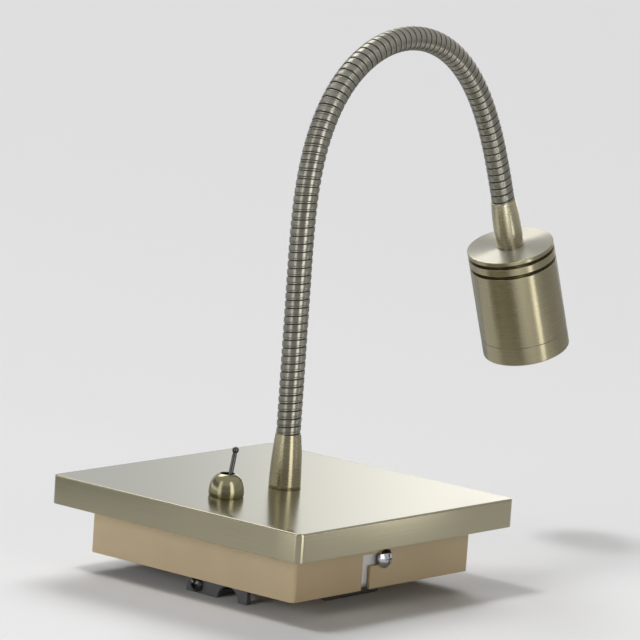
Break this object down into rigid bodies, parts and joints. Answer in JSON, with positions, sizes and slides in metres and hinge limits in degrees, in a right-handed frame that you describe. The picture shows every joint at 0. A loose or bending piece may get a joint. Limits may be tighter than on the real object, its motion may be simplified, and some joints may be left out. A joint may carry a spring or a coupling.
{
  "type": "wall sconce",
  "caption": "Wall reading light with a square brushed brass base, a toggle switch, a wound flexible neck that arches over, and a cylindrical LED spot head.",
  "frame": {"origin": "on the wall, midway between the bracket's two wall slots", "axes": "+Z away from the wall, +X the way the neck arches, which is up the wall in use, +Y along the row of wall slots"},
  "size_m": [0.2352, 0.132, 0.2217],
  "materials": {
    "plate_brass": "brushed antique brass, lacquered",
    "brass": "satin antique brass",
    "dome_brass": "polished antique brass",
    "neck_wire": "antique bronze, wound wire",
    "skirt_tan": "matte tan lacquer",
    "zinc": "zinc plated",
    "nickel": "nickel plated",
    "contact": "bright contact brass",
    "switch_case": "moulded phenolic",
    "heat_sink": "machined",
    "board": "white solder mask",
    "emitter": "phosphor dome",
    "lens": "clear",
    "optic": "clear moulding",
    "gasket": "moulded",
    "driver_case": "moulded",
    "terminal_white": "moulded",
    "insulation": "extruded"
  },
  "bodies": {
    "bracket": {"wall_bracket": "zinc", "side_screws": "nickel", "earth_screw": "nickel", "earth_washer": "zinc"},
    "cover": {"front_plate": "plate_brass", "plate_studs": "zinc", "stud_nuts": "zinc", "skirt": "skirt_tan", "base_ferrule": "brass", "neck_washer": "zinc", "neck_nut": "zinc", "neck_link_01": "neck_wire", "switch_body": "switch_case", "switch_bushing": "nickel", "switch_washer": "zinc", "switch_dome_nut": "dome_brass", "switch_terminals": "contact", "led_driver": "driver_case", "driver_screws": "nickel", "terminal_block": "terminal_white", "terminal_screws": "nickel", "base_leads": "insulation"},
    "lever": {"switch_lever": "nickel"},
    "rocker": {"switch_rocker": "contact"},
    "link_02": {"neck_link_02": "neck_wire"},
    "link_03": {"neck_link_03": "neck_wire"},
    "link_04": {"neck_link_04": "neck_wire"},
    "link_05": {"neck_link_05": "neck_wire"},
    "link_06": {"neck_link_06": "neck_wire"},
    "link_07": {"neck_link_07": "neck_wire"},
    "link_08": {"neck_link_08": "neck_wire"},
    "link_09": {"neck_link_09": "neck_wire"},
    "link_10": {"neck_link_10": "neck_wire"},
    "link_11": {"neck_link_11": "neck_wire"},
    "link_12": {"neck_link_12": "neck_wire"},
    "link_13": {"neck_link_13": "neck_wire"},
    "link_14": {"neck_link_14": "neck_wire"},
    "link_15": {"neck_link_15": "neck_wire"},
    "link_16": {"neck_link_16": "neck_wire"},
    "link_17": {"neck_link_17": "neck_wire"},
    "link_18": {"neck_link_18": "neck_wire"},
    "link_19": {"neck_link_19": "neck_wire"},
    "link_20": {"neck_link_20": "neck_wire"},
    "link_21": {"neck_link_21": "neck_wire"},
    "link_22": {"neck_link_22": "neck_wire"},
    "head": {"neck_link_23": "neck_wire", "head_ferrule": "brass", "head_nut": "zinc", "head_body": "brass", "heat_sink": "heat_sink", "led_board": "board", "led_emitter": "emitter", "led_screws": "nickel", "collimator": "optic", "bezel_ring": "brass", "cover_lens": "lens", "lens_gasket": "gasket", "head_lead": "insulation"}
  },
  "joints": [
    {"name": "cover_shift", "type": "slide", "parent": "bracket", "child": "cover", "axis": [1, 0, 0], "range_m": [0, 0.0105]},
    {"name": "switch_toggle", "type": "hinge", "parent": "cover", "child": "lever", "pos_m": [-0.0353, 0, 0.0372], "axis": [0, 1, 0], "range_deg": [-24, 0]},
    {"name": "rocker_tip", "type": "hinge", "parent": "cover", "child": "rocker", "pos_m": [-0.0353, 0, 0.0281], "axis": [0, 1, 0], "range_deg": [0, 12]},
    {"name": "neck_lower_bend", "type": "hinge", "parent": "cover", "child": "link_02", "pos_m": [0, 0, 0.07218], "axis": [0.001, 1, 0.001], "range_deg": [-13, 6]},
    {"name": "neck_lower_bend_2", "type": "hinge", "parent": "link_02", "child": "link_03", "pos_m": [0, 0, 0.08506], "axis": [0.001, 1, 0.001], "range_deg": [-13, 6]},
    {"name": "neck_lower_sway", "type": "hinge", "parent": "link_03", "child": "link_04", "pos_m": [0, 0, 0.09794], "axis": [1, 0.001, 0.001], "range_deg": [-12, 12]},
    {"name": "neck_lower_bend_3", "type": "hinge", "parent": "link_04", "child": "link_05", "pos_m": [0, 0, 0.11082], "axis": [0.001, 1, 0.001], "range_deg": [-13, 6]},
    {"name": "neck_lower_bend_4", "type": "hinge", "parent": "link_05", "child": "link_06", "pos_m": [0, 0, 0.1237], "axis": [0.001, 1, 0.001], "range_deg": [-13, 6]},
    {"name": "neck_lower_sway_2", "type": "hinge", "parent": "link_06", "child": "link_07", "pos_m": [0.00009, 0, 0.13658], "axis": [0.9999, 0.001, -0.0129], "range_deg": [-12, 12]},
    {"name": "neck_arch_open", "type": "hinge", "parent": "link_07", "child": "link_08", "pos_m": [0.00062, 0, 0.14945], "axis": [0.001, -1, 0.001], "range_deg": [-3, 14.5]},
    {"name": "neck_arch_open_2", "type": "hinge", "parent": "link_08", "child": "link_09", "pos_m": [0.00214, 0, 0.16223], "axis": [0.001, -1, 0.001], "range_deg": [-3, 14.5]},
    {"name": "neck_upper_sway", "type": "hinge", "parent": "link_09", "child": "link_10", "pos_m": [0.00514, 0, 0.17475], "axis": [0.954, 0.001, -0.2999], "range_deg": [-9, 9]},
    {"name": "neck_arch_open_3", "type": "hinge", "parent": "link_10", "child": "link_11", "pos_m": [0.01011, 0, 0.18661], "axis": [0.001, -1, 0.001], "range_deg": [-3, 14.5]},
    {"name": "neck_arch_open_4", "type": "hinge", "parent": "link_11", "child": "link_12", "pos_m": [0.01734, 0, 0.19724], "axis": [0.001, -1, 0.001], "range_deg": [-3, 14.5]},
    {"name": "neck_upper_sway_2", "type": "hinge", "parent": "link_12", "child": "link_13", "pos_m": [0.02677, 0, 0.20597], "axis": [0.59, 0.001, -0.8074], "range_deg": [-9, 9]},
    {"name": "neck_arch_open_5", "type": "hinge", "parent": "link_13", "child": "link_14", "pos_m": [0.03795, 0, 0.2123], "axis": [0.001, -1, 0.001], "range_deg": [-3, 14.5]},
    {"name": "neck_arch_open_6", "type": "hinge", "parent": "link_14", "child": "link_15", "pos_m": [0.05029, 0, 0.2159], "axis": [0.001, -1, 0.001], "range_deg": [-3, 14.5]},
    {"name": "neck_upper_sway_3", "type": "hinge", "parent": "link_15", "child": "link_16", "pos_m": [0.06312, 0, 0.21657], "axis": [-0.0627, 0.001, -0.998], "range_deg": [-9, 9]},
    {"name": "neck_tip_bend", "type": "hinge", "parent": "link_16", "child": "link_17", "pos_m": [0.07577, 0, 0.21427], "axis": [0.001, 1, 0.001], "range_deg": [-14.5, 5]},
    {"name": "neck_tip_bend_2", "type": "hinge", "parent": "link_17", "child": "link_18", "pos_m": [0.08755, 0, 0.20914], "axis": [0.001, 1, 0.001], "range_deg": [-14.5, 5]},
    {"name": "neck_upper_sway_4", "type": "hinge", "parent": "link_18", "child": "link_19", "pos_m": [0.0979, 0, 0.20151], "axis": [-0.6763, 0.001, -0.7366], "range_deg": [-9, 9]},
    {"name": "neck_tip_bend_3", "type": "hinge", "parent": "link_19", "child": "link_20", "pos_m": [0.10657, 0, 0.19202], "axis": [0.001, 1, 0.001], "range_deg": [-14.5, 5]},
    {"name": "neck_tip_bend_4", "type": "hinge", "parent": "link_20", "child": "link_21", "pos_m": [0.11367, 0, 0.18128], "axis": [0.001, 1, 0.001], "range_deg": [-14.5, 5]},
    {"name": "neck_upper_sway_5", "type": "hinge", "parent": "link_21", "child": "link_22", "pos_m": [0.11948, 0, 0.16979], "axis": [-0.9132, 0.001, -0.4074], "range_deg": [-9, 9]},
    {"name": "neck_tip_bend_5", "type": "hinge", "parent": "link_22", "child": "head", "pos_m": [0.12441, 0, 0.15789], "axis": [0.001, 1, 0.001], "range_deg": [-14.5, 5]}
  ],
  "couplings": [
    {"joint": "rocker_tip", "follows": "switch_toggle", "ratio": -0.5},
    {"joint": "neck_lower_bend_2", "follows": "neck_lower_bend", "ratio": 1},
    {"joint": "neck_lower_bend_3", "follows": "neck_lower_bend", "ratio": 1},
    {"joint": "neck_lower_bend_4", "follows": "neck_lower_bend", "ratio": 1},
    {"joint": "neck_lower_sway_2", "follows": "neck_lower_sway", "ratio": 1},
    {"joint": "neck_arch_open_2", "follows": "neck_arch_open", "ratio": 1},
    {"joint": "neck_arch_open_3", "follows": "neck_arch_open", "ratio": 1},
    {"joint": "neck_arch_open_4", "follows": "neck_arch_open", "ratio": 1},
    {"joint": "neck_upper_sway_2", "follows": "neck_upper_sway", "ratio": 1},
    {"joint": "neck_arch_open_5", "follows": "neck_arch_open", "ratio": 1},
    {"joint": "neck_arch_open_6", "follows": "neck_arch_open", "ratio": 1},
    {"joint": "neck_upper_sway_3", "follows": "neck_upper_sway", "ratio": 1},
    {"joint": "neck_tip_bend_2", "follows": "neck_tip_bend", "ratio": 1},
    {"joint": "neck_upper_sway_4", "follows": "neck_upper_sway", "ratio": 1},
    {"joint": "neck_tip_bend_3", "follows": "neck_tip_bend", "ratio": 1},
    {"joint": "neck_tip_bend_4", "follows": "neck_tip_bend", "ratio": 1},
    {"joint": "neck_upper_sway_5", "follows": "neck_upper_sway", "ratio": 1},
    {"joint": "neck_tip_bend_5", "follows": "neck_tip_bend", "ratio": 1}
  ]
}
